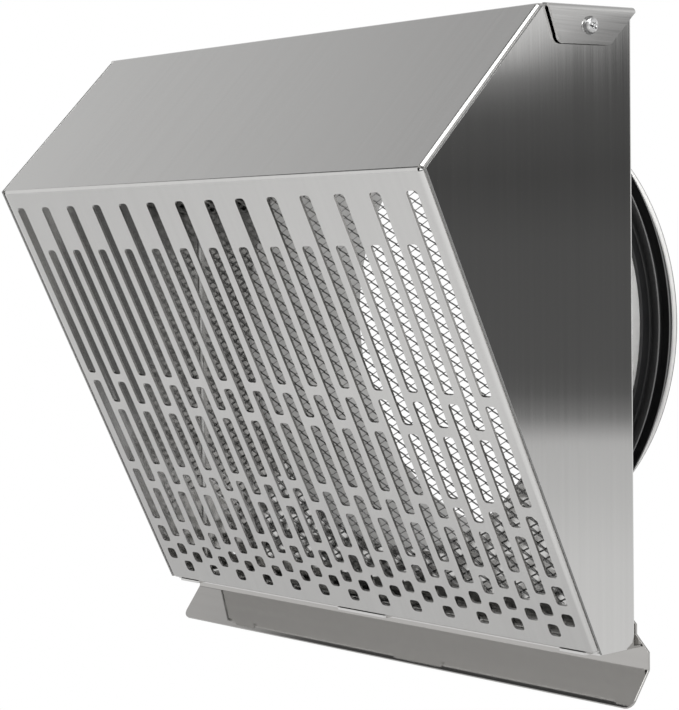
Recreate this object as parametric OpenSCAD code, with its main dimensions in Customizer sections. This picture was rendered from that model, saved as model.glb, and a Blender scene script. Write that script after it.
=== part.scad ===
// Wall hood for a round exhaust duct, in folded stainless sheet.
// A three-sided body with a duct spigot, a slotted cover folded over it,
// a bird mesh on the wall plate and a drip edge behind the underside.
// Origin: centre of the duct opening, on the rear face of the wall plate.
// +X runs along the hood's width, +Y goes into the wall, +Z is up.

/* [Body] */
// Width over the two cheeks
body_w = 268; // [247:1:323]
// Height from the underside of the cheeks to the top at the wall
body_h = 244.2; // [233:0.1:285]
// Depth from the wall plate to the nose
body_d = 111.8; // [95:0.1:142]
// Height of the nose above the underside
nose_h = 182.2; // [166:0.1:190]
// Depth of the flat top
top_d = 50.4; // [45:0.1:62]
// Depth of the hood at its underside
bottom_d = 21.6; // [19:0.1:38]
// Fall of the top towards the front
top_fall = 1.4; // [0:0.1:4]
// Thickness of the stainless sheet
sheet = 1; // [0.8:0.1:1.5]
// Inside radius of the body's two rear corners
corner_r = 2; // [1:0.5:3]
// Diameter of the four wall screw holes
wall_hole_d = 5.5; // [4:0.5:8]
// Distance of the wall screw holes from the cheeks
wall_hole_side = 22.8; // [17:0.1:28]
// Distance of the wall screw holes from the underside and the top
wall_hole_rise = 13.3; // [13:0.1:17]
// Depth of the three tongues at the front edge of the floor
tongue_l = 2.9; // [2.5:0.1:5]
// Width of the middle tongue
tongue_w = 30.4; // [19:0.1:48]
// Width of the outer tongues
side_tongue_w = 13.8; // [8:0.1:19]
// Distance of the outer tongues from the cheeks
side_tongue_in = 7.6; // [6:0.1:13]

/* [Cover] */
// Inside radius of the cover's folds
fold_r = 1; // [0.5:0.1:2]
// Side gap between the cover and each cheek
cover_gap = 0.7; // [0.3:0.1:1.5]
// Height by which the cover's face stands proud of the cheeks' edges
cover_proud = 0.8; // [0.2:0.1:1]
// Gap between the cheeks' top edges and the cover's top
top_gap = 0.3; // [0.1:0.1:1]
// Depth of the cover's side flanges
side_flange = 10.5; // [6:0.5:13]
// Depth of the cover's return along the bottom
bottom_return = 10.5; // [6:0.5:11.5]
// Height of the flaps that fold down outside the cheeks
flap_h = 14.6; // [13.3:0.1:19]
// Gap between a flap and its cheek
flap_gap = 0.8; // [0.2:0.1:1.2]
// Distance of the flap's lower edge from the wall
flap_back = 15.9; // [13:0.1:19]
// Slant of the flap's front edge
flap_slant = 4.3; // [0:0.1:5.7]
// Corner radius at the flap's front
flap_r = 3.3; // [1:0.1:4.7]
// Distance of the cover screws from the wall
screw_back = 27.2; // [25:0.1:32]
// Distance of the cover screws from the top
screw_drop = 7.7; // [6.8:0.1:9.5]

/* [Grille] */
// Distance between slot columns of one kind
pitch = 19; // [16:0.5:23]
// Width of the slots
slot_w = 5.7; // [4:0.1:6.5]
// Corner radius of the slots
slot_r = 1.4; // [1:0.1:1.9]
// Sheet left between slots of one column
web = 3.9; // [3:0.1:5.7]
// Distance from the nose to the first long slots
long_start = 8.5; // [7.5:0.1:13]
// Distance from the last slot of a long column to the bottom fold
long_end = 11.6; // [7.6:0.1:15]
// Distance from the nose to the first short slots
short_start = 29.3; // [25:0.1:34]
// Distance from the last slot of a short column to the bottom fold
short_end = 5.6; // [4.8:0.1:7.6]

/* [Duct] */
// Outside diameter of the spigot
duct_d = 194.4; // [154:0.1:200]
// Wall of the spigot
duct_wall = 1; // [0.8:0.1:1.5]
// Reach of the spigot behind the wall plate
duct_l = 69.7; // [66:0.1:90]
// Thickness of the rolled hem at the spigot's end
hem_w = 3; // [2.6:0.1:4]
// Height of the hem above the spigot
hem_h = 2.3; // [2:0.1:2.8]

/* [Seal] */
// Length of the seal's band along the spigot
seal_l = 19.5; // [18:0.1:24]
// Thickness of the band
band_t = 1.5; // [1:0.1:2]
// Height of the lips above the band
lip_h = 7.9; // [5:0.1:9]
// Distance between the two lips
lip_pitch = 6.8; // [6:0.1:8]
// Distance of the rear lip's root from the hem
lip_back = 5.8; // [3:0.1:7]
// Lean of the lips towards the wall plate
lip_lean = 5.8; // [3:0.1:7]

/* [Mesh] */
// Thickness of the expanded mesh
mesh_t = 1.2; // [0.8:0.1:2]
// Gap between the mesh and each cheek
mesh_side = 3.3; // [3:0.1:6]
// Distance of the mesh's edges from the underside and the top
mesh_rise = 11.9; // [8:0.1:15]
// Size of the mesh's cut corners
mesh_cut = 32.3; // [29:0.1:42]
// Long way of one diamond, shown coarser than in the real mesh
diamond_l = 38; // [38:1:57]
// Short way of one diamond
diamond_h = 21; // [21:1:29]
// Width of the strands
strand = 2.5; // [1.5:0.1:3.8]

/* [Drip edge] */
// Overhang of the drip edge beyond each cheek
drip_side = 5.3; // [3:0.1:19]
// Drop of the drip edge below the underside, down to its fold
drip_drop = 8.2; // [7.6:0.1:13]
// Length of the sloping lip
drip_lip = 17.5; // [11:0.1:28]
// Angle of the lip from the vertical
drip_angle = 38; // [20:1:60]
// Corner radius of the lip
drip_corner = 3.8; // [1:0.1:7.6]

/* [Fasteners] */
// Thread diameter of the cover screws
screw_d = 3; // [2.5:0.5:4]
// Length of the screws under the head
screw_l = 8; // [7:1:12]
// Diameter of the screw heads
head_d = 5.6; // [5.4:0.1:7]
// Height of the screw heads
head_h = 1.9; // [1.8:0.1:3]
// Outside diameter of the washers
washer_d = 6.8; // [6.5:0.1:9]
// Thickness of the washers
washer_t = 0.5; // [0.4:0.1:1]
// Outside diameter of the clinch nuts
nut_d = 6.4; // [6:0.1:9]
// Height of the clinch nuts behind the cheek
nut_h = 2; // [1.5:0.1:3]

/* [Hidden] */

// Faces of one fold, slot corner, flap corner and of the spigot's rolled hem
fold_steps = 6;
slot_steps = 2;
edge_steps = 4;
bead_steps = 6;
// Facets of the round parts and of the small hardware
round_faces = 96;
small_faces = 32;
// Play of a screw in its hole, of its thread in a nut and of the weld seam
hole_play = 0.4;
thread_play = 0.1;
seam = 0.1;
// Width of the gap between the mitred side flanges
relief = 0.6;
// Clear height between the drip edge and the wall screw holes above it
drip_clear = 0.25;
// Width and depth of the relief notch between a flap and the front fold
notch_w = 2.4;
notch_l = 1.9;
// Distance of a flap's rear edge from the wall at its fold, and the point where
// that edge starts to slant, as distance from the wall and depth
flap_rear = 1;
flap_knee = [3, 3.6];
// Corner radius of the tongues
tongue_r = 1;
// Upstand of the drip edge: how far it stays inside the cheeks, the height of
// its shoulders above the underside and the size of its cut corners
drip_narrow = 0.9;
drip_flare = 5;
drip_chamfer = 1.5;
// Least margin beside the outermost slots
slot_margin = 3.8;
// Thickness of a seal lip in front of its root line, and at its edge
lip_root = 1.2;
lip_edge = 0.4;
// Chamfer of the screws' tips and width of their cross recess
screw_tip = 0.4;
cross_w = 0.8;
// Overlap of the cutting tools past the faces that they cut
over = 1;

// Lengths of the slots of each column after its first, longest one
long_rest = [43.2, 27.2, 8.7, 5.6];
short_rest = [38.2, 26.2, 5.9, 5.6];

z_top = body_h / 2;
z_under = -z_top;
half_w = body_w / 2;
cheek_in = half_w - sheet;
fold_out = fold_r + sheet;
corner_out = corner_r + sheet;
floor_half = half_w - corner_out;
cover_half = cheek_in - cover_gap;
panel_half = cover_half - fold_out;
flap_out = half_w + flap_gap + sheet;
columns = 1 + floor((2 * (panel_half - slot_margin) - slot_w) / pitch);
wall_hole_x = half_w - wall_hole_side;
wall_hole_z = z_top - wall_hole_rise;
screw_y = -screw_back;
screw_z = z_top - top_fall * screw_back / top_d - screw_drop;

// Outside corners of the cover seen from the side, as [y, z]
wall_top = [0, z_top];
fold_top = [-top_d, z_top - top_fall];
nose = [-body_d, z_under + nose_h];
fold_bottom = [-bottom_d, z_under];
return_end = [-bottom_d + bottom_return, z_under];
// Outside corners of the body's floor fold
floor_front = [-bottom_d + tongue_l, z_under - sheet];
floor_fold = [0, z_under - sheet];
floor_top = [0, z_under + fold_out];
// Rear face corners of the drip edge, from the lip's edge upwards
drip_fold = [sheet, z_under - drip_drop];
drip_end = drip_fold - drip_lip * [sin(drip_angle), cos(drip_angle)];
drip_up = wall_hole_rise - wall_hole_d / 2 - drip_clear;
drip_top = [sheet, z_under + drip_up];
drip_half = half_w + drip_side;

top_l = norm(fold_top - wall_top);
grille_l = norm(fold_bottom - nose);

function unit(v) = v / norm(v);
function inward(v) = [-v.y, v.x];
function angle_of(v) = atan2(v.y, v.x);
function total(v, i = 0) = i < len(v) ? v[i] + total(v, i + 1) : 0;
function reversed(p) = [for (i = [len(p) - 1 : -1 : 0]) p[i]];
// Crossing point of two lines, each given by a point and a direction
function meet(p, u, q, v) =
    p + u * ((q - p).x * v.y - (q - p).y * v.x) / (u.x * v.y - u.y * v.x);
// Corner b of the chain a, b, c after its two sides move inwards
function inset(a, b, c, before, after) =
    let(u = unit(b - a), v = unit(c - b))
    meet(b + inward(u) * before, u, b + inward(v) * after, v);
// Turn of the chain at b, and the length that a fold takes off each side
function turn(a, b, c) =
    let(u = unit(b - a), v = unit(c - b))
    acos(u.x * v.x + u.y * v.y);
function setback(a, b, c) = fold_out * tan(turn(a, b, c) / 2);
// Points of the fold at b, at some depth below its outside face
function fold_arc(a, b, c, depth) =
    let(u = unit(b - a), sweep = turn(a, b, c))
    let(centre = b - u * setback(a, b, c) + inward(u) * fold_out)
    let(from = angle_of(-inward(u)))
    [for (i = [0 : fold_steps])
        let(w = from + sweep * i / fold_steps)
        centre + (fold_out - depth) * [cos(w), sin(w)]];
// Quarter circle as points
function quarter(centre, r, from, steps) =
    [for (i = [0 : steps])
        let(w = from + 90 * i / steps)
        centre + r * [cos(w), sin(w)]];
// Channel outline: web at zero depth, two rounded corners and two legs
function channel(half, depth, r) =
    let(out = r + sheet)
    let(left = [-half + out, out], right = [half - out, out])
    concat(
        [[-half, depth]],
        quarter(left, out, 180, fold_steps),
        quarter(right, out, 270, fold_steps),
        [[half, depth], [half - sheet, depth]],
        reversed(quarter(right, r, 270, fold_steps)),
        reversed(quarter(left, r, 180, fold_steps)),
        [[-half + sheet, depth]]);

// Side view drawn as [y, z] and given a width along X
module across(half)
    translate([-half, 0, 0])
        rotate([90, 0, 90])
            linear_extrude(2 * half)
                children();

// Puts a panel drawn in X and in distance from a onto the line from a to b,
// with its depth running inwards
module along(a, b)
    translate([0, a.x, a.y])
        rotate([angle_of(b - a), 0, 0])
            children();

// Side outline of a panel drawn as [distance, depth], given a width
module side_outline(half)
    translate([-half, 0, 0])
        rotate([90, 0, 90])
            linear_extrude(2 * half)
                children();

// Fold along the side of a panel, drawn from the end of its flat to its leg
function edge_fold(reach, depth) =
    let(centre = [reach - fold_out, fold_out])
    concat(
        [[0, 0]],
        quarter(centre, fold_out, 270, fold_steps),
        [[reach, depth], [reach - sheet, depth]],
        reversed(quarter(centre, fold_r, 270, fold_steps)),
        [[0, sheet]]);

// That section run from one distance to another along its panel
module edge_run(from, to, half, depth)
    translate([panel_half, to, 0])
        rotate([90, 0, 0])
            linear_extrude(to - from)
                polygon(edge_fold(half - panel_half, depth));

// Section of a folded sheet whose outside runs through the chain's points
function sheet_section(chain) =
    let(n = len(chain))
    let(first = unit(chain[1] - chain[0]), last = unit(chain[n - 1] - chain[n - 2]))
    let(folds = [for (i = [1 : n - 2]) [chain[i - 1], chain[i], chain[i + 1]]])
    concat(
        [chain[0]],
        [for (f = folds) each fold_arc(f[0], f[1], f[2], 0)],
        [chain[n - 1], chain[n - 1] + inward(last) * sheet],
        [for (i = [len(folds) - 1 : -1 : 0])
            each reversed(fold_arc(folds[i][0], folds[i][1], folds[i][2], sheet))],
        [chain[0] + inward(first) * sheet]);

module rounded_2d(w, l, r, steps)
    polygon(concat(
        quarter([w / 2 - r, l / 2 - r], r, 0, steps),
        quarter([-w / 2 + r, l / 2 - r], r, 90, steps),
        quarter([-w / 2 + r, -l / 2 + r], r, 180, steps),
        quarter([w / 2 - r, -l / 2 + r], r, 270, steps)));

// Lengths of all slots of a column: the first one takes what is left
function column_slots(start, end, rest) =
    concat([grille_l - start - end - total(rest) - len(rest) * web], rest);
function slot_at(start, slots, i) =
    i == 0 ? start : slot_at(start, slots, i - 1) + slots[i - 1] + web;

module slot_column(start, slots)
    for (i = [0 : len(slots) - 1])
        translate([0, slot_at(start, slots, i) + slots[i] / 2])
            rounded_2d(slot_w, slots[i], slot_r, slot_steps);

module slots_2d() {
    for (i = [0 : columns - 1])
        translate([(i - (columns - 1) / 2) * pitch, 0])
            slot_column(long_start, column_slots(long_start, long_end, long_rest));
    for (i = [0 : columns - 2])
        translate([(i - (columns - 2) / 2) * pitch, 0])
            slot_column(short_start, column_slots(short_start, short_end, short_rest));
}

// Side flange of the panel between the folds at b and c of the chain
// a, b, c, d; it is mitred where the next panel has one too
module flange(a, b, c, d, mitre_b, mitre_c) {
    l = norm(c - b);
    from = setback(a, b, c);
    to = l - setback(b, c, d);
    half_b = (180 - turn(a, b, c)) / 2;
    half_c = (180 - turn(b, c, d)) / 2;
    lean_b = mitre_b ? side_flange / tan(half_b) : from;
    lean_c = mitre_c ? side_flange / tan(half_c) : l - to;
    along(b, c)
        intersection() {
            edge_run(from, to, cover_half, side_flange);
            side_outline(half_w)
                polygon([
                    [from, -over],
                    [to, -over],
                    [to, fold_out - relief],
                    [l - lean_c - relief, side_flange + over],
                    [lean_b + relief, side_flange + over],
                    [from, fold_out - relief]]);
        }
}

// Flap outline as [distance from the wall, depth below the top]
module flap_2d() {
    front = top_l - setback(wall_top, fold_top, nose);
    low = front - flap_slant;
    // The rear edge starts at the fold's end and rises at about 45 degrees
    polygon(concat(
        [[flap_rear, -over], [front, -over], [front, 0]],
        [for (i = [0 : edge_steps])
            let(w = 90 * i / edge_steps)
            [low - flap_r + flap_r * cos(w), flap_h - flap_r + flap_r * sin(w)]],
        [[flap_back, flap_h], flap_knee, [flap_rear, fold_out]]));
}

// Clearance holes of the two cover screws, through flaps and cheeks
module screw_holes()
    translate([0, screw_y, screw_z])
        rotate([0, 90, 0])
            cylinder(h = 2 * (flap_out + over), d = screw_d + hole_play,
                center = true, $fn = small_faces);

// Cheek seen from the side, inside the cover's faces
module cheek_2d()
    polygon([
        [0, z_under],
        inset(nose, fold_bottom, return_end, cover_proud, 0),
        inset(fold_top, nose, fold_bottom, cover_proud, cover_proud),
        inset(wall_top, fold_top, nose, sheet + top_gap, cover_proud),
        [0, z_top - sheet - top_gap]]);

module tongues_2d() {
    side_x = half_w - side_tongue_in - side_tongue_w / 2;
    for (tongue = [[0, tongue_w], [side_x, side_tongue_w], [-side_x, side_tongue_w]])
        translate([tongue[0], -bottom_d + tongue_l])
            rounded_2d(tongue[1], 2 * tongue_l, tongue_r, edge_steps);
}

module body()
    color("silver")
        difference() {
            union() {
                intersection() {
                    translate([0, 0, z_under])
                        linear_extrude(body_h)
                            mirror([0, 1])
                                polygon(channel(half_w, body_d, corner_r));
                    difference() {
                        across(half_w + over)
                            cheek_2d();
                        translate([-half_w - over, -corner_out, z_under - over])
                            cube([body_w + 2 * over, corner_out + over, fold_r + over]);
                    }
                }
                across(floor_half)
                    polygon(sheet_section([floor_front, floor_fold, floor_top]));
                translate([0, 0, z_under - sheet])
                    linear_extrude(sheet)
                        tongues_2d();
            }
            rotate([90, 0, 0])
                cylinder(h = 2 * corner_out, d = duct_d + 2 * seam,
                    center = true, $fn = round_faces);
            for (x = [-wall_hole_x, wall_hole_x], z = [-wall_hole_z, wall_hole_z])
                translate([x, 0, z])
                    rotate([90, 0, 0])
                        cylinder(h = 2 * corner_out, d = wall_hole_d,
                            center = true, $fn = small_faces);
            screw_holes();
        }

module front_cover()
    color("gainsboro")
        difference() {
            union() {
                across(panel_half)
                    polygon(sheet_section([wall_top, fold_top, nose, fold_bottom, return_end]));
                for (side = [0, 1])
                    mirror([side, 0, 0]) {
                        top_wing();
                        flange(wall_top, fold_top, nose, fold_bottom, false, true);
                        flange(fold_top, nose, fold_bottom, return_end, true, false);
                    }
            }
            along(nose, fold_bottom)
                translate([0, 0, -over])
                    linear_extrude(sheet + 2 * over)
                        slots_2d();
            screw_holes();
        }

// Side strip of the top with its flap and the relief notch before the fold
module top_wing() {
    l = top_l - setback(wall_top, fold_top, nose);
    along(wall_top, fold_top)
        difference() {
            union() {
                translate([panel_half, 0, 0])
                    cube([cover_half - panel_half, l, sheet]);
                intersection() {
                    edge_run(0, l, flap_out, flap_h);
                    side_outline(flap_out + over)
                        flap_2d();
                }
            }
            translate([panel_half, l - notch_l, -over])
                cube([notch_w, notch_l + over, sheet + 2 * over]);
        }
}

// Outline of the mesh, as x and z
function mesh_outline() =
    let(x = cheek_in - mesh_side, z = z_top - mesh_rise, c = mesh_cut)
    [[x, z - c], [x - c, z], [-x + c, z], [-x, z - c],
     [-x, -z + c], [-x + c, -z], [x - c, -z], [x, -z + c]];
// True when a point lies inside the mesh's outline by at least a strand
function in_mesh(x, z) =
    let(hx = cheek_in - mesh_side - strand, hz = z_top - mesh_rise - strand)
    abs(x) < hx && abs(z) < hz && abs(x) + abs(z) < hx + hz - mesh_cut - strand;

module mesh_gaps_2d() {
    half_l = (diamond_l - strand * diamond_l / diamond_h) / 2;
    half_h = (diamond_h - strand) / 2;
    cols = ceil(body_w / diamond_l);
    rows = ceil(body_h / diamond_h);
    for (j = [-rows : rows], i = [-cols : cols]) {
        x = (i + (abs(j) % 2) / 2) * diamond_l;
        z = j * diamond_h / 2;
        if (in_mesh(abs(x) + half_l, z) && in_mesh(x, abs(z) + half_h))
            translate([x, z])
                polygon([[half_l, 0], [0, half_h], [-half_l, 0], [0, -half_h]]);
    }
}

module mesh_panel()
    color("darkgray")
        translate([0, -sheet, 0])
            rotate([90, 0, 0])
                linear_extrude(mesh_t)
                    difference() {
                        polygon(mesh_outline());
                        mesh_gaps_2d();
                    }

// Round part drawn as [radius, distance behind the wall plate]
module turned()
    rotate([-90, 0, 0])
        rotate_extrude($fn = round_faces)
            children();

module duct_spigot() {
    bead = hem_w / 2;
    centre = [duct_d / 2 + hem_h - bead, duct_l - bead];
    color("silver")
        turned()
            polygon(concat(
                [[duct_d / 2 - duct_wall, -sheet],
                 [duct_d / 2, -sheet],
                 [duct_d / 2, duct_l - hem_w]],
                [for (i = [0 : bead_steps])
                    let(w = -90 + 270 * i / bead_steps)
                    centre + bead * [cos(w), sin(w)]],
                [[duct_d / 2 - duct_wall, duct_l - bead]]));
}

// One side of a lip: from its root on the band to its thin edge, or back
function lip_near(r, root) =
    [[r, root - lip_root], [r + lip_h - lip_edge, root - lip_lean - lip_edge],
     [r + lip_h, root - lip_lean]];
function lip_far(r, root) =
    [[r + lip_h - lip_edge / 2, root - lip_lean + lip_edge], [r, root + lip_root / 2]];

module lip_seal() {
    r = duct_d / 2;
    band = r + band_t;
    end = duct_l - hem_w;
    root_2 = end - lip_back;
    root_1 = root_2 - lip_pitch;
    color([0.13, 0.13, 0.14])
        turned()
            polygon(concat(
                [[r, end - seal_l], [band, end - seal_l]],
                lip_near(band, root_1),
                lip_far(band, root_1),
                lip_near(band, root_2),
                lip_far(band, root_2),
                [[band, end], [r, end]]));
}

// What is cut off beside and above the drip edge's upstand, at the right
module drip_shoulder_2d() {
    narrow = half_w - drip_narrow;
    flare = drip_fold.y + drip_drop + drip_flare;
    polygon([
        [drip_half + over, flare - (drip_half - narrow) - over],
        [narrow, flare],
        [narrow, drip_top.y - drip_chamfer],
        [narrow - drip_chamfer, drip_top.y],
        [narrow - drip_chamfer, drip_top.y + over],
        [drip_half + over, drip_top.y + over]]);
}

// What is cut off round the lip's right corner, in the lip's own plane
module drip_corner_2d()
    polygon(concat(
        quarter([drip_half - drip_corner, drip_corner], drip_corner, 270, edge_steps),
        [[drip_half + over, drip_corner],
         [drip_half + over, -over],
         [drip_half - drip_corner, -over]]));

module drip_edge()
    color("silver")
        difference() {
            across(drip_half)
                polygon(sheet_section([drip_end, drip_fold, drip_top]));
            for (side = [0, 1])
                mirror([side, 0, 0]) {
                    translate([0, sheet + over, 0])
                        rotate([90, 0, 0])
                            linear_extrude(sheet + 2 * over)
                                drip_shoulder_2d();
                    along(drip_end, drip_fold)
                        translate([0, 0, -over])
                            linear_extrude(sheet + 2 * over)
                                drip_corner_2d();
                }
        }

// Places a fastener with its outward side along +Z onto both flaps
module on_both_sides(x)
    for (side = [-1, 1])
        translate([side * x, screw_y, screw_z])
            rotate([0, side * 90, 0])
                children();

module pan_screw() {
    r = head_d / 2;
    difference() {
        rotate_extrude($fn = small_faces)
            polygon([
                [0, -screw_l],
                [screw_d / 2 - screw_tip, -screw_l],
                [screw_d / 2, -screw_l + screw_tip],
                [screw_d / 2, 0],
                [r, 0],
                [r, head_h * 0.35],
                [r * 0.93, head_h * 0.65],
                [r * 0.76, head_h * 0.88],
                [r * 0.5, head_h],
                [0, head_h]]);
        for (w = [0, 90])
            rotate([0, 0, w])
                translate([-r * 0.52, -cross_w / 2, head_h * 0.4])
                    cube([r * 1.04, cross_w, head_h]);
    }
}

module cover_screws()
    color("lightgray")
        on_both_sides(flap_out + washer_t)
            pan_screw();

module ring(h, outer, inner)
    difference() {
        cylinder(h = h, d = outer, $fn = small_faces);
        translate([0, 0, -over])
            cylinder(h = h + 2 * over, d = inner, $fn = small_faces);
    }

module cover_washers()
    color("lightgray")
        on_both_sides(flap_out)
            ring(washer_t, washer_d, screw_d + hole_play);

module clinch_nuts()
    color("gray")
        on_both_sides(cheek_in - nut_h)
            ring(nut_h, nut_d, screw_d + thread_play);

body();
front_cover();
mesh_panel();
duct_spigot();
lip_seal();
drip_edge();
cover_screws();
cover_washers();
clinch_nuts();
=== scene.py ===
# %% [markdown]
# # Exhaust vent cover
# This object is a hood for the outside end of an exhaust duct. A folded body of
# stainless sheet sits on the wall, a slotted cover folds over it, a bird mesh
# guards the duct opening, and a round spigot with a rubber seal goes into the duct.
# The construction model is loaded as a fixed frame. Each visible piece below
# follows one of its solids, in metres, with +Y going into the wall.

from math import atan2, ceil, cos, pi, radians, sin, sqrt, tan

import bmesh
import bpy
from mathutils import Matrix, Vector, noise


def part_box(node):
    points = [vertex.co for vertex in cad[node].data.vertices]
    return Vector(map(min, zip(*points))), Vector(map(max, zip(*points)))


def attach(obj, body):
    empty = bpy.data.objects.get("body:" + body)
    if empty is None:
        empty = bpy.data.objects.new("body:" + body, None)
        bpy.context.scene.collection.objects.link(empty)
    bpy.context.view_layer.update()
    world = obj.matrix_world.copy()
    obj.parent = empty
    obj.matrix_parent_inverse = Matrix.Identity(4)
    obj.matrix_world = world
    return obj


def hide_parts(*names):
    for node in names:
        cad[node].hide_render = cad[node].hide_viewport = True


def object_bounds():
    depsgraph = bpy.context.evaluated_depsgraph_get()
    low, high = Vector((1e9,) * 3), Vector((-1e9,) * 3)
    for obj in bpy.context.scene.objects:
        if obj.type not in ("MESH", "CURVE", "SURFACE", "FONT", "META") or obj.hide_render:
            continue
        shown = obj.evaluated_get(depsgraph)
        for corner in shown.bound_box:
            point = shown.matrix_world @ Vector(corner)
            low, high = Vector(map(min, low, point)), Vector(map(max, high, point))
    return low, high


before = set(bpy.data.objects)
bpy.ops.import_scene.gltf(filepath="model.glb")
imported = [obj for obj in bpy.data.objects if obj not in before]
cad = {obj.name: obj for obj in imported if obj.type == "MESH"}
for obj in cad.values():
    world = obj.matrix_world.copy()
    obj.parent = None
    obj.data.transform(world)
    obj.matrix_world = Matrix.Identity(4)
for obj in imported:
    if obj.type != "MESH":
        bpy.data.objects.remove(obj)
cad_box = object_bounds()
MM = 0.001
print("nodes:", sorted(cad))

# %% [markdown]
# ## Camera and picture frame
# The photograph was taken from the front right with a long lens, about 0.86 m
# away. Its vertical edges stay nearly upright, so a camera with no shift and a
# small downward tilt repeats it. The place is given from the duct's centre.

# %% Set the camera
PHOTO_W, PHOTO_H = 679, 710
SENSOR_H = 24.0
FOCAL_PX = 1993.1
CAMERA_AT = Vector((623.5, -591.6, 32.7)) * MM
YAW, TILT, ROLL = radians(48.069), radians(-3.051), radians(-0.823)


def aim(yaw, tilt, roll):
    """Rotation of a camera that looks along yaw from +Y towards -X."""
    ahead = Vector((-sin(yaw) * cos(tilt), cos(yaw) * cos(tilt), sin(tilt)))
    side = Vector((cos(yaw), sin(yaw), 0))
    up = side.cross(ahead)
    turned_side = side * cos(roll) + up * sin(roll)
    turned_up = up * cos(roll) - side * sin(roll)
    return Matrix((turned_side, turned_up, -ahead)).transposed().to_4x4()


def add_object(name, data):
    made = bpy.data.objects.new(name, data)
    bpy.context.scene.collection.objects.link(made)
    return made


lens = bpy.data.cameras.new("camera")
lens.sensor_fit = "VERTICAL"
lens.sensor_height = SENSOR_H
lens.lens = FOCAL_PX * SENSOR_H / PHOTO_H
lens.clip_start = 0.01
camera = add_object("camera", lens)
camera.matrix_world = Matrix.Translation(CAMERA_AT) @ aim(YAW, TILT, ROLL)
bpy.context.scene.camera = camera
bpy.context.scene.view_settings.view_transform = "Standard"
print("lens in mm:", round(lens.lens, 2))

# %% [markdown]
# ## Sheet steel with real edges
# Every folded part was cut from 1 mm sheet, so its edges are crisp but not
# razor sharp. Each sheet could be built again from planes, but its solid already
# has the true folds and slots. So a copy of the solid is cleaned into flat
# faces, its edges get a hair of rounding, and the folds are shaded smooth.

# %% Copy a solid as a sheet piece
EDGE_ROUNDING = 0.12 * MM
SHARP_ANGLE = radians(25)
FLAT_ANGLE = radians(0.2)


def clean_copy(node, name):
    """Mesh of a solid with its flat faces joined, as a new piece."""
    solid = bmesh.new()
    solid.from_mesh(cad[node].data)
    bmesh.ops.remove_doubles(solid, verts=solid.verts, dist=0.002 * MM)
    bmesh.ops.dissolve_limit(solid, angle_limit=FLAT_ANGLE, verts=solid.verts,
                             edges=solid.edges)
    mesh = bpy.data.meshes.new(name)
    solid.to_mesh(mesh)
    solid.free()
    if "custom_normal" in mesh.attributes:
        mesh.attributes.remove(mesh.attributes["custom_normal"])
    mesh.materials.clear()
    return add_object(name, mesh)


def round_edges(piece, width=EDGE_ROUNDING, segments=2):
    """Smooth folds, softly rounded cut edges and flat panels."""
    piece.data.shade_smooth()
    piece.data.set_sharp_from_angle(angle=SHARP_ANGLE)
    bevel = piece.modifiers.new("rounded edges", "BEVEL")
    bevel.width = width
    bevel.segments = segments
    bevel.limit_method = "ANGLE"
    bevel.angle_limit = SHARP_ANGLE
    bevel.harden_normals = True
    even = piece.modifiers.new("even shading", "WEIGHTED_NORMAL")
    even.keep_sharp = True


def stand_for(piece, node):
    """The piece takes the place of a solid, which is hidden, and hangs from the root."""
    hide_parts(node)
    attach(piece, "root")


body = clean_copy("body", "folded_body")
cover = clean_copy("front_cover", "slotted_cover")
drip = clean_copy("drip_edge", "drip_strip")
for sheet_piece in (body, cover, drip):
    round_edges(sheet_piece)
stand_for(body, "body")
stand_for(cover, "front_cover")
stand_for(drip, "drip_edge")
print("faces of the cover:", len(cover.data.polygons))

# %% [markdown]
# ## Expanded mesh
# Expanded metal is sheet that was slit and pulled open. Its strands meet at
# knuckles, and each strand leans, so its lower edge stands in front of its upper
# edge. It could be a lattice of boxes, but then no strand would run into the
# next. Here every knuckle has four corners, and the strands join corner to
# corner, so the whole mesh is one welded surface with cut ends at its outline.

# %% Build the expanded mesh
LONG_WAY = 7.96 * MM
SHORT_WAY = 4.03 * MM
STRAND = 0.42 * MM
MESH_SHEET = 0.3 * MM
LEAN = 0.7 * MM

mesh_low, mesh_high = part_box("mesh_panel")
MESH_CUT = 32.3 * MM
MESH_Y = (mesh_low.y + mesh_high.y) / 2


def in_mesh(x, z):
    """True inside the mesh's outline with its cut corners."""
    reach = mesh_high.x + mesh_high.z - MESH_CUT
    return abs(x) < mesh_high.x and abs(z) < mesh_high.z and abs(x) + abs(z) < reach


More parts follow.
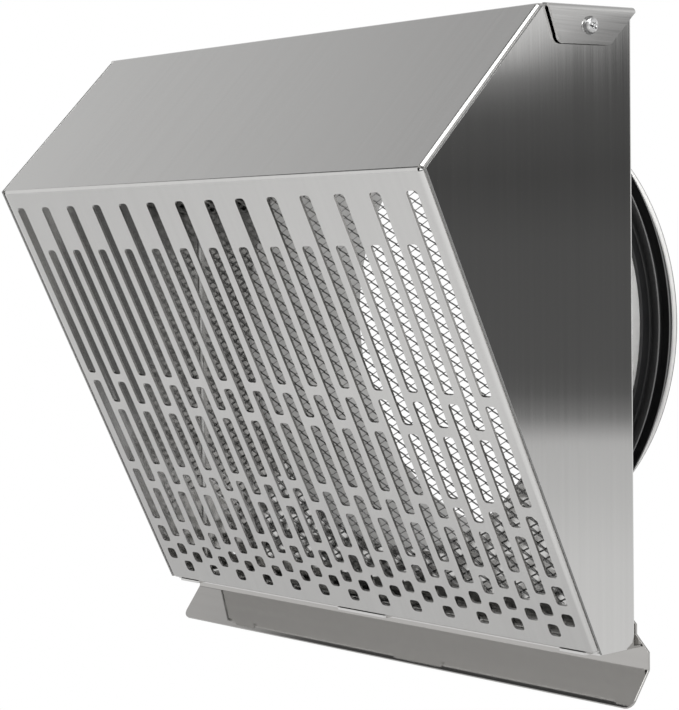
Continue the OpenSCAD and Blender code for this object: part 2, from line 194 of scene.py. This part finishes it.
def build_expanded_mesh(name):
    made = bmesh.new()
    columns = ceil(mesh_high.x / LONG_WAY)
    rows = ceil(2 * mesh_high.z / SHORT_WAY)
    half_wide = STRAND * 0.75
    half_tall = STRAND * 0.8
    # Corners of a knuckle: right, top, left, bottom, with their lean
    corners = ((half_wide, 0, 0), (0, half_tall, LEAN / 2),
               (-half_wide, 0, 0), (0, -half_tall, -LEAN / 2))
    places = {}
    for row in range(-rows, rows + 1):
        for column in range(-columns, columns + 1):
            x = (column + (row % 2) / 2) * LONG_WAY
            z = row * SHORT_WAY / 2
            if in_mesh(x, z):
                places[(2 * column + row % 2, row)] = (x, z)

    def ring(x, z, shift):
        depth = MESH_Y + shift
        return [[made.verts.new((x + dx, depth + dy + side, z + dz))
                 for dx, dz, dy in corners]
                for side in (-MESH_SHEET / 2, MESH_SHEET / 2)]

    knuckles = {key: ring(x, z, 0) for key, (x, z) in places.items()}
    for front, back in knuckles.values():
        made.faces.new(front)
        made.faces.new(reversed(back))

    def strand(near, near_pair, far, far_pair):
        """Four faces from two corners of one knuckle to two of the next."""
        a, b = near_pair
        c, d = far_pair
        made.faces.new((near[0][a], near[0][b], far[0][c], far[0][d]))
        made.faces.new((near[1][b], near[1][a], far[1][d], far[1][c]))
        made.faces.new((near[0][b], near[1][b], far[1][c], far[0][c]))
        made.faces.new((near[1][a], near[0][a], far[0][d], far[1][d]))

    # Step to each neighbour, the corners that the strand leaves, and those it meets
    steps = {(1, 1): ((0, 1), (2, 3)), (-1, 1): ((1, 2), (3, 0)),
             (-1, -1): ((2, 3), (0, 1)), (1, -1): ((3, 0), (1, 2))}
    for key, knuckle in knuckles.items():
        for (dx, dz), (leave, meet) in steps.items():
            neighbour = knuckles.get((key[0] + dx, key[1] + dz))
            if neighbour:
                if dz > 0:
                    strand(knuckle, leave, neighbour, meet)
                continue
            # No neighbour: the strand was cut halfway, so it ends in a flat face
            x, z = places[key]
            end_x = x + dx * LONG_WAY * 0.2
            end_z = z + dz * SHORT_WAY * 0.2
            tip = [[made.verts.new((end_x + corners[i][0] - dx * half_wide,
                                    MESH_Y + corners[i][2] + side,
                                    end_z + corners[i][1] - dz * half_tall / 2))
                    for i in leave]
                   for side in (-MESH_SHEET / 2, MESH_SHEET / 2)]
            a, b = leave
            made.faces.new((knuckle[0][a], knuckle[0][b], tip[0][1], tip[0][0]))
            made.faces.new((knuckle[1][b], knuckle[1][a], tip[1][0], tip[1][1]))
            made.faces.new((knuckle[0][b], knuckle[1][b], tip[1][1], tip[0][1]))
            made.faces.new((knuckle[1][a], knuckle[0][a], tip[0][0], tip[1][0]))
            made.faces.new((tip[0][0], tip[0][1], tip[1][1], tip[1][0]))
    bmesh.ops.recalc_face_normals(made, faces=made.faces)
    mesh = bpy.data.meshes.new(name)
    made.to_mesh(mesh)
    made.free()
    print("knuckles:", len(knuckles), "faces:", len(mesh.polygons))
    return add_object(name, mesh)


bird_mesh = build_expanded_mesh("expanded_mesh")
stand_for(bird_mesh, "mesh_panel")

# %% [markdown]
# ## Round parts
# The spigot and its seal were rolled and moulded round one axis, and a pan head
# screw is turned too. A turned piece is a side profile that is spun in steps,
# which gives clean rings of faces and lets the profile carry the small radii.

# %% Turned pieces
def spin(name, profile, steps=180, closed=True):
    """Piece from (radius, distance) points spun round the Y axis."""
    made = bmesh.new()
    rings = []
    for step in range(steps):
        turn = 2 * pi * step / steps
        rings.append([made.verts.new((r * cos(turn), y, r * sin(turn)))
                      for r, y in profile])
    count = len(profile)
    for step in range(steps):
        here, there = rings[step], rings[(step + 1) % steps]
        for i in range(count if closed else count - 1):
            j = (i + 1) % count
            made.faces.new((here[i], here[j], there[j], there[i]))
    bmesh.ops.remove_doubles(made, verts=made.verts, dist=0.001 * MM)
    bmesh.ops.recalc_face_normals(made, faces=made.faces)
    mesh = bpy.data.meshes.new(name)
    made.to_mesh(mesh)
    made.free()
    piece = add_object(name, mesh)
    mesh.shade_smooth()
    mesh.set_sharp_from_angle(angle=radians(40))
    return piece


def arc(centre, radius, start, end, steps=6):
    """Points of an arc, in degrees, as (radius, distance) pairs."""
    turns = (radians(start + (end - start) * i / steps) for i in range(steps + 1))
    return [(centre[0] + radius * cos(t), centre[1] + radius * sin(t)) for t in turns]


def in_metres(points):
    return [(r * MM, y * MM) for r, y in points]


TUBE_R = 97.2
TUBE_WALL = 1.0
TUBE_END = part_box("duct_spigot")[1].y / MM
HEM_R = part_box("duct_spigot")[1].x / MM
HEM_HALF = 1.5

inner_r = TUBE_R - TUBE_WALL
hem_at = (HEM_R - HEM_HALF, TUBE_END - HEM_HALF)
spigot_profile = (
    arc((inner_r + 0.3, -0.7), 0.3, 180, 270, 3)
    + arc((TUBE_R - 0.3, -0.7), 0.3, 270, 360, 3)
    + [(TUBE_R, TUBE_END - 2 * HEM_HALF)]
    + arc(hem_at, HEM_HALF, -90, 180, 24)
    + [(inner_r, hem_at[1])])
spigot = spin("duct_tube", in_metres(spigot_profile))
stand_for(spigot, "duct_spigot")

seal_low, seal_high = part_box("lip_seal")
SEAL_START = seal_low.y / MM
SEAL_END = seal_high.y / MM
LIP_R = seal_high.x / MM
BAND_R = TUBE_R + 1.5
LIP_LEAN = 5.8
ROOT_2 = SEAL_END - 5.8
ROOT_1 = ROOT_2 - 6.8
EDGE_R = 0.3


def blend(start, corner, end, steps=7):
    """Points of a soft fillet that leaves one line and joins the next."""
    shares = (i / steps for i in range(steps + 1))
    return [tuple((1 - t) ** 2 * a + 2 * t * (1 - t) * b + t * t * c
                  for a, b, c in zip(start, corner, end)) for t in shares]


def lip(root):
    """A lip from its filleted root to its thin rounded edge and back."""
    edge = (LIP_R - EDGE_R, root - LIP_LEAN + EDGE_R / 2)
    front, back = (BAND_R, root - 1.6), (BAND_R, root)
    return (blend((BAND_R, root - 3.4), front, (BAND_R + 2.6, root - 2.9))
            + arc(edge, EDGE_R, 235, 415, 6)
            + blend((BAND_R + 2.4, root - 1.5), back, (BAND_R, root + 0.9)))


seal_profile = (
    [(TUBE_R, SEAL_START)] + arc((BAND_R - 0.4, SEAL_START + 0.4), 0.4, 270, 360, 4)
    + lip(ROOT_1) + lip(ROOT_2)
    + [(BAND_R, SEAL_END - 0.3), (BAND_R - 0.3, SEAL_END), (TUBE_R, SEAL_END)])
seal = spin("rubber_seal", in_metres(seal_profile))
stand_for(seal, "lip_seal")
print("seal from", SEAL_START, "to", SEAL_END, "mm behind the plate")

# %% [markdown]
# ## Screws, washers and nuts
# One small pan head screw holds each flap. What the eye catches is the domed
# head with its cross recess. The dome could be cut with a boolean, but a fine
# polar grid whose height dips inside the cross gives soft recess edges instead.

# %% Build the screws and their hardware
THREAD_PITCH = 0.5
screw_low, screw_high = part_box("cover_screws")
washer_low, washer_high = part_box("cover_washers")
HEAD_R = (screw_high.z - screw_low.z) / 2 / MM
HEAD_TOP = screw_high.x / MM
HEAD_BASE = washer_high.x / MM
SCREW_LENGTH = 8.0
SCREW_R = 1.5
CROSS_HALF = 0.42
CROSS_REACH = 0.56 * HEAD_R
CROSS_DEPTH = 1.15
screw_at = (screw_low + screw_high) / 2


def smooth_step(low, high, value):
    t = min(max((value - low) / (high - low), 0), 1)
    return t * t * (3 - 2 * t)


def head_height(u, v, height):
    """Height of the dome over the washer at a point, with the cross pressed in."""
    share = min(sqrt(u * u + v * v) / HEAD_R, 1)
    dome = height * (0.45 + 0.55 * sqrt(max(1 - share ** 3.2, 0)))
    along, beside = max(abs(u), abs(v)), min(abs(u), abs(v))
    arm = 1 - smooth_step(CROSS_HALF - 0.12, CROSS_HALF + 0.06, beside)
    reach = 1 - smooth_step(CROSS_REACH * 0.55, CROSS_REACH, along)
    return dome - CROSS_DEPTH * arm * reach


def build_screw(name, side, turn):
    made = bmesh.new()
    height = HEAD_TOP - HEAD_BASE
    sectors, rings = 96, 26
    loops = []

    def loop(points):
        loops.append([made.verts.new(p) for p in points])

    def place(u, v, out):
        return (side * (HEAD_BASE + out) * MM, screw_at.y + u * MM, screw_at.z + v * MM)

    for ring_no in range(rings, 0, -1):
        r = HEAD_R * ring_no / rings
        points = []
        for s in range(sectors):
            a = 2 * pi * s / sectors
            u, v = r * cos(a), r * sin(a)
            turned = (u * cos(turn) - v * sin(turn), u * sin(turn) + v * cos(turn))
            points.append(place(u, v, head_height(*turned, height)))
        loop(points)
    top = made.verts.new(place(0, 0, head_height(0, 0, height)))
    head_loops = list(loops)
    loops.clear()
    # Under the head, then the threaded shank down to its tip
    turns = int(SCREW_LENGTH / THREAD_PITCH * 6)
    loop([place(HEAD_R * cos(2 * pi * s / sectors), HEAD_R * sin(2 * pi * s / sectors), 0)
          for s in range(sectors)])
    for level in range(turns + 1):
        depth = SCREW_LENGTH * level / turns
        points = []
        for s in range(sectors):
            a = 2 * pi * s / sectors
            phase = (depth / THREAD_PITCH + s / sectors) % 1
            r = SCREW_R - 0.28 * abs(2 * phase - 1)
            points.append(place(r * cos(a), r * sin(a), -depth))
        loop(points)
    tip = made.verts.new(place(0, 0, -SCREW_LENGTH))
    chain = list(reversed(head_loops)) + loops
    for near, far in zip(chain, chain[1:]):
        for s in range(sectors):
            t = (s + 1) % sectors
            made.faces.new((near[s], near[t], far[t], far[s]))
    for s in range(sectors):
        t = (s + 1) % sectors
        made.faces.new((top, chain[0][t], chain[0][s]))
        made.faces.new((tip, chain[-1][s], chain[-1][t]))
    bmesh.ops.recalc_face_normals(made, faces=made.faces)
    mesh = bpy.data.meshes.new(name)
    made.to_mesh(mesh)
    made.free()
    piece = add_object(name, mesh)
    mesh.shade_smooth()
    mesh.set_sharp_from_angle(angle=radians(40))
    return piece


screws = [build_screw("screw_right", 1, radians(22)), build_screw("screw_left", -1, radians(-14))]
for screw in screws:
    stand_for(screw, "cover_screws")
washers = clean_copy("cover_washers", "washers")
nuts = clean_copy("clinch_nuts", "nuts")
for piece, node in ((washers, "cover_washers"), (nuts, "clinch_nuts")):
    round_edges(piece, 0.08 * MM)
    stand_for(piece, node)
print("screw head across:", round(2 * HEAD_R, 2), "mm")

# %% [markdown]
# ## Brushed stainless steel
# The sheet was brushed in one direction before it was folded. Up close that is a
# field of fine scratches, from a step away it is a soft streaky sheen. One way is
# a scratch image, but a noise stretched along the grain needs no image and never
# repeats. It moves the colour, the roughness and a very shallow bump.

# %% Metal material
def material_with(name):
    """A new material with its node tree, shader and object coordinates."""
    made = bpy.data.materials.new(name)
    made.use_nodes = True
    nodes = made.node_tree.nodes
    return made, nodes, made.node_tree.links, nodes["Principled BSDF"]


def stretched_noise(nodes, links, across, along, grain, detail=3.0):
    """Noise with so many cells a metre across the grain's axes and along them."""
    where = nodes.new("ShaderNodeTexCoord")
    scale = nodes.new("ShaderNodeMapping")
    pattern = nodes.new("ShaderNodeTexNoise")
    scale.inputs["Scale"].default_value = [along if axis in grain else across
                                           for axis in "XYZ"]
    pattern.inputs["Scale"].default_value = 1.0
    pattern.inputs["Detail"].default_value = detail
    links.new(where.outputs["Object"], scale.inputs["Vector"])
    links.new(scale.outputs["Vector"], pattern.inputs["Vector"])
    return pattern.outputs["Fac"]


def remap(nodes, links, value, low, high, spread=0.25):
    """Value of a noise spread over low to high."""
    ramp = nodes.new("ShaderNodeMapRange")
    ramp.inputs["From Min"].default_value = 0.5 - spread
    ramp.inputs["From Max"].default_value = 0.5 + spread
    ramp.inputs["To Min"].default_value = low
    ramp.inputs["To Max"].default_value = high
    links.new(value, ramp.inputs["Value"])
    return ramp.outputs["Result"]


def compute(nodes, links, operation, first, second=0.0):
    """Result of a maths node on sockets or numbers."""
    made = nodes.new("ShaderNodeMath")
    made.operation = operation
    for socket, value in zip(made.inputs, (first, second)):
        if isinstance(value, (int, float)):
            socket.default_value = value
        else:
            links.new(value, socket)
    return made.outputs["Value"]


def lay_grain(nodes, links, shader, axis, turned=False):
    """Widen the shader's reflections across the grain of the sheet."""
    way = nodes.new("ShaderNodeTangent")
    way.direction_type = "RADIAL"
    way.axis = axis
    shader.inputs["Anisotropic"].default_value = 0.9
    shader.inputs["Anisotropic Rotation"].default_value = 0.25 if turned else 0
    links.new(way.outputs["Tangent"], shader.inputs["Tangent"])


def brushed_metal(name, colour, roughness, grain="", streaks=0.02, bump=0.006, wear=0.15):
    made, nodes, links, shader = material_with(name)
    if grain == "Z":
        lay_grain(nodes, links, shader, "Z")
    elif "Y" in grain:
        lay_grain(nodes, links, shader, "X", turned=True)
    fine = stretched_noise(nodes, links, 1900, 16, grain)
    broad = stretched_noise(nodes, links, 420, 5, grain, 2.0)
    shader.inputs["Metallic"].default_value = 1.0
    tone = nodes.new("ShaderNodeMix")
    tone.data_type = "RGBA"
    tone.inputs["A"].default_value = [c * (1 - streaks) for c in colour] + [1]
    tone.inputs["B"].default_value = [min(c * (1 + streaks), 1) for c in colour] + [1]
    links.new(remap(nodes, links, broad, 0, 1), tone.inputs["Factor"])
    links.new(tone.outputs["Result"], shader.inputs["Base Color"])
    strokes = compute(nodes, links, "MULTIPLY",
                      compute(nodes, links, "ADD", fine, broad), 0.5)
    links.new(remap(nodes, links, strokes, roughness * (1 - wear),
                    min(roughness * (1 + wear), 1), 0.2),
              shader.inputs["Roughness"])
    relief = nodes.new("ShaderNodeBump")
    relief.inputs["Strength"].default_value = 0.35
    relief.inputs["Distance"].default_value = bump * MM
    links.new(strokes, relief.inputs["Height"])
    links.new(relief.outputs["Normal"], shader.inputs["Normal"])
    return made


STAINLESS = (0.68, 0.675, 0.665)
body_steel = brushed_metal("brushed_steel_body", STAINLESS, 0.07, "Z",
                           bump=0.012, wear=0.45)
cover_steel = brushed_metal("brushed_steel_cover", STAINLESS, 0.11, "YZ",
                            bump=0.012, wear=0.45)
flap_steel = brushed_metal("brushed_steel_flaps", STAINLESS, 0.11, "XY",
                           bump=0.012, wear=0.45)
# Painted shade: the drip strip's colour is darker than the other sheet, for its place under the
# hood.
drip_steel_painted_shade = brushed_metal("brushed_steel_drip_painted_shade", (0.5, 0.49, 0.475), 0.06, "X")
# Painted shade: the mesh's colour is darkened for the dark hood behind it.
mesh_steel_painted_shade = brushed_metal("expanded_steel_painted_shade", (0.42, 0.42, 0.42), 0.16, "X", 0.08)
cut_steel = brushed_metal("sheared_edge", (0.34, 0.34, 0.335), 0.6, bump=0.001)
# Painted light: the tube's outside is made paler than the sheet steel, though the spigot is one
# rolled sheet.
tube_steel_painted_light = brushed_metal("tube_steel_painted_light", (0.95, 0.945, 0.935), 0.8, bump=0.001)
# Painted shade: the tube's inside is a darker copy of its steel.
inside_steel_painted_shade = brushed_metal("tube_inside_painted_shade", (0.62, 0.615, 0.605), 0.5, bump=0.001)
# Painted shade: the rolled hem is a darker copy of the tube's steel.
hem_steel_painted_shade = brushed_metal("hem_steel_painted_shade", (0.4, 0.4, 0.395), 0.4, bump=0.001)
screw_steel = brushed_metal("screw_steel", (0.7, 0.7, 0.7), 0.05, bump=0.001)
# Painted shade: the washers are dark for the shade under the screw heads.
washer_steel_painted_shade = brushed_metal("washer_steel_painted_shade", (0.3, 0.3, 0.3), 0.2, bump=0.001)

# %% [markdown]
# ## Rubber
# The seal is black moulded rubber. It is nearly matt, with a fine grain from the
# mould and a faint grey bloom. A plain black would look like a hole in the
# picture, so a small noise lifts the roughness and the colour a little.

# %% Rubber material
def moulded_rubber(name):
    made, nodes, links, shader = material_with(name)
    grain = stretched_noise(nodes, links, 900, 900, "Z")
    bloom = stretched_noise(nodes, links, 40, 40, "Z")
    tone = nodes.new("ShaderNodeMix")
    tone.data_type = "RGBA"
    tone.inputs["A"].default_value = (0.012, 0.012, 0.013, 1)
    tone.inputs["B"].default_value = (0.028, 0.028, 0.029, 1)
    links.new(remap(nodes, links, bloom, 0, 1), tone.inputs["Factor"])
    # The lips' thin edges get a painted highlight: the colour turns paler grey near the lip radius
    where = nodes.new("ShaderNodeTexCoord")
    flat = nodes.new("ShaderNodeVectorMath")
    flat.operation = "MULTIPLY"
    flat.inputs[1].default_value = (1, 0, 1)
    reach = nodes.new("ShaderNodeVectorMath")
    reach.operation = "LENGTH"
    edge = nodes.new("ShaderNodeMapRange")
    edge.inputs["From Min"].default_value = (LIP_R - 0.5) * MM
    edge.inputs["From Max"].default_value = (LIP_R - 0.2) * MM
    painted_edge_highlight = nodes.new("ShaderNodeMix")
    painted_edge_highlight.data_type = "RGBA"
    painted_edge_highlight.inputs["B"].default_value = (0.16, 0.16, 0.16, 1)
    links.new(where.outputs["Object"], flat.inputs[0])
    links.new(flat.outputs["Vector"], reach.inputs[0])
    links.new(reach.outputs["Value"], edge.inputs["Value"])
    links.new(edge.outputs["Result"], painted_edge_highlight.inputs["Factor"])
    links.new(tone.outputs["Result"], painted_edge_highlight.inputs["A"])
    links.new(painted_edge_highlight.outputs["Result"], shader.inputs["Base Color"])
    links.new(remap(nodes, links, grain, 0.38, 0.52), shader.inputs["Roughness"])
    relief = nodes.new("ShaderNodeBump")
    relief.inputs["Strength"].default_value = 0.3
    relief.inputs["Distance"].default_value = 0.03 * MM
    links.new(grain, relief.inputs["Height"])
    links.new(relief.outputs["Normal"], shader.inputs["Normal"])
    return made


def dress(piece, finish):
    piece.data.materials.clear()
    piece.data.materials.append(finish)


dress(body, body_steel)
body.data.materials.append(cut_steel)
cheek_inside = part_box("body")[1].x - 1 * MM
for face in body.data.polygons:
    at_edge = abs(face.center.x) > cheek_inside and abs(face.normal.x) < 0.5
    face.material_index = int(at_edge)
dress(cover, cover_steel)
cover.data.materials.append(flap_steel)
for face in cover.data.polygons:
    face.material_index = int(abs(face.center.x) > cheek_inside + 1 * MM)
dress(drip, drip_steel_painted_shade)
dress(bird_mesh, mesh_steel_painted_shade)
dress(spigot, tube_steel_painted_light)
spigot.data.materials.append(inside_steel_painted_shade)
spigot.data.materials.append(hem_steel_painted_shade)
# Painted shade: the inside and the hem of the tube take darker copies of its steel.
for face in spigot.data.polygons:
    reach = sqrt(face.center.x ** 2 + face.center.z ** 2)
    if reach < (inner_r + 0.3) * MM:
        face.material_index = 1
    elif face.center.y > (TUBE_END - HEM_HALF) * MM:
        face.material_index = 2
dress(seal, moulded_rubber("moulded_rubber"))
for piece in (*screws, nuts):
    dress(piece, screw_steel)
dress(washers, washer_steel_painted_shade)

# %% [markdown]
# ## Studio
# Metal shows what is around it, so the room matters more than the lamps. Two
# soft boxes could do, but sheet steel would then mirror their hard outlines.
# The world is instead a plain gradient: a pale ceiling and floor with a narrow
# dark band at the horizon, which the upright cheek reflects as its dark field.
# The camera itself sees white, as in the photograph.

# %% Light the studio
WORLD_LEVELS = (
    (-90, 0.80), (-12, 0.80), (-9, 0.76), (-7, 0.65), (-5.5, 0.60), (-5.1, 0.30),
    (-4.7, 0.16), (-4, 0.11), (0, 0.10), (2, 0.075), (4.2, 0.10), (5.1, 0.16),
    (5.6, 0.24), (6.1, 0.50), (6.5, 0.84), (15, 0.80), (30, 0.70), (34, 0.62), (41, 0.53),
    (46, 0.44), (60, 0.5), (90, 0.6))


def between(nodes, links, value, low, high, to_low=0.0, to_high=1.0):
    """Value in radians, spread over two angles in degrees."""
    made = nodes.new("ShaderNodeMapRange")
    made.interpolation_type = "SMOOTHSTEP"
    made.inputs["From Min"].default_value = radians(low)
    made.inputs["From Max"].default_value = radians(high)
    made.inputs["To Min"].default_value = to_low
    made.inputs["To Max"].default_value = to_high
    links.new(value, made.inputs["Value"])
    return made.outputs["Result"]


def studio_world():
    world = bpy.data.worlds.new("studio")
    bpy.context.scene.world = world
    world.use_nodes = True
    nodes, links = world.node_tree.nodes, world.node_tree.links
    background = nodes["Background"]
    where = nodes.new("ShaderNodeTexCoord")
    parts = nodes.new("ShaderNodeSeparateXYZ")
    links.new(where.outputs["Generated"], parts.inputs["Vector"])
    rise = compute(nodes, links, "ARCSINE", parts.outputs["Z"])
    turn = compute(nodes, links, "ARCTAN2", parts.outputs["X"], parts.outputs["Y"])

    # The upper edge of the dark band comes down towards the right
    slant = nodes.new("ShaderNodeMapRange")
    slant.inputs["From Min"].default_value = radians(39.5)
    slant.inputs["From Max"].default_value = radians(43)
    slant.inputs["To Min"].default_value = radians(-0.9)
    slant.inputs["To Max"].default_value = radians(0.9)
    links.new(turn, slant.inputs["Value"])
    lift = compute(nodes, links, "MULTIPLY", slant.outputs["Result"],
                   between(nodes, links, rise, 1, 5))
    level = nodes.new("ShaderNodeMapRange")
    level.inputs["From Min"].default_value = -pi / 2
    level.inputs["From Max"].default_value = pi / 2
    links.new(compute(nodes, links, "ADD", rise, lift), level.inputs["Value"])
    ramp = nodes.new("ShaderNodeValToRGB")
    stops = ramp.color_ramp.elements
    stops[0].position, stops[1].position = 0, 1
    for index, (degrees, light) in enumerate(WORLD_LEVELS):
        if index in (0, len(WORLD_LEVELS) - 1):
            stop = stops[0] if index == 0 else stops[-1]
        else:
            stop = stops.new(0.5 + degrees / 180)
        stop.color = (light, light, light, 1)
    links.new(level.outputs["Result"], ramp.inputs["Fac"])

    # A dark flag high in front, which the drip edge's lip reflects
    aside = compute(nodes, links, "ABSOLUTE",
                    compute(nodes, links, "ADD", turn, radians(146)))
    flag = compute(nodes, links, "MULTIPLY",
                   between(nodes, links, aside, 31.2, 32.8, 0.88, 0),
                   between(nodes, links, rise, 12, 22))
    # It is wider overhead, where it draws a thin dark line along the cover's bend
    overhead = compute(nodes, links, "MULTIPLY",
                       between(nodes, links, aside, 56, 62, 0.9, 0),
                       between(nodes, links, rise, 50, 57))
    flag = compute(nodes, links, "MAXIMUM", flag, overhead)
    shade = compute(nodes, links, "SUBTRACT", 1.0, flag)
    lit = compute(nodes, links, "MULTIPLY", ramp.outputs["Color"], shade)

    # Beside and behind the camera the room is lighter at the horizon
    room = compute(nodes, links, "MULTIPLY",
                   between(nodes, links, compute(nodes, links, "ABSOLUTE",
                                                 compute(nodes, links, "ADD", turn, radians(-140))),
                           30, 45, 0.7, 0),
                   between(nodes, links, compute(nodes, links, "ABSOLUTE", rise), 15, 25, 1, 0))
    lit = compute(nodes, links, "MAXIMUM", lit, room)

    # The white backdrop behind the object hides the dark band
    behind = compute(nodes, links, "MULTIPLY",
                     between(nodes, links, turn, -165, -150),
                     between(nodes, links, turn, 8, 20, 1, 0))
    behind = compute(nodes, links, "MULTIPLY", behind,
                     between(nodes, links, rise, 18, 30, 0.85, 0))
    lit = compute(nodes, links, "MAXIMUM", lit, behind)

    sight = nodes.new("ShaderNodeLightPath")
    mix = nodes.new("ShaderNodeMix")
    mix.data_type = "RGBA"
    mix.inputs["B"].default_value = (1, 1, 1, 1)
    links.new(sight.outputs["Is Camera Ray"], mix.inputs["Factor"])
    links.new(lit, mix.inputs["A"])
    links.new(mix.outputs["Result"], background.inputs["Color"])


studio_world()

FLOOR_DROP = 0.35
floor_mesh = bpy.data.meshes.new("floor")
disc = bmesh.new()
bmesh.ops.create_circle(disc, cap_ends=True, radius=1.5, segments=96,
                        matrix=Matrix.Translation((0, 0, cad_box[0][2] - FLOOR_DROP)))
disc.to_mesh(floor_mesh)
disc.free()
floor = add_object("floor", floor_mesh)


def floor_finish(name):
    """Pale floor that the camera sees as white, with painted shade that darkens it towards the
    wall.
    """
    made, nodes, links, shader = material_with(name)
    where = nodes.new("ShaderNodeTexCoord")
    parts = nodes.new("ShaderNodeSeparateXYZ")
    tone = nodes.new("ShaderNodeMix")
    tone.data_type = "RGBA"
    tone.inputs["A"].default_value = (0.96, 0.96, 0.96, 1)
    tone.inputs["B"].default_value = (0.74, 0.74, 0.74, 1)
    # Painted shade: the floor's colour falls from 0.96 in front to 0.74 near the wall.
    shade = nodes.new("ShaderNodeMapRange")
    shade.inputs["From Min"].default_value = -0.36
    shade.inputs["From Max"].default_value = -0.2
    links.new(where.outputs["Object"], parts.inputs["Vector"])
    links.new(parts.outputs["Y"], shade.inputs["Value"])
    links.new(shade.outputs["Result"], tone.inputs["Factor"])
    links.new(tone.outputs["Result"], shader.inputs["Base Color"])
    shader.inputs["Roughness"].default_value = 0.9
    white = nodes.new("ShaderNodeEmission")
    sight = nodes.new("ShaderNodeLightPath")
    mix = nodes.new("ShaderNodeMixShader")
    links.new(sight.outputs["Is Camera Ray"], mix.inputs["Fac"])
    links.new(shader.outputs["BSDF"], mix.inputs[1])
    links.new(white.outputs["Emission"], mix.inputs[2])
    links.new(mix.outputs["Shader"], nodes["Material Output"].inputs["Surface"])
    return made


dress(floor, floor_finish("pale_floor_painted_shade"))


def soft_box(name, at, size, power):
    lamp = bpy.data.lights.new(name, "AREA")
    lamp.shape = "SQUARE"
    lamp.size = size
    lamp.energy = power
    made = add_object(name, lamp)
    made.matrix_world = (Matrix.Translation(at)
                         @ (-Vector(at)).to_track_quat("-Z", "Y").to_matrix().to_4x4())
    return made


soft_box("key_light", (0.6, -0.7, 2.0), 2.0, 27)
soft_box("fill_light", (1.5, -0.6, 1.0), 0.8, 6)
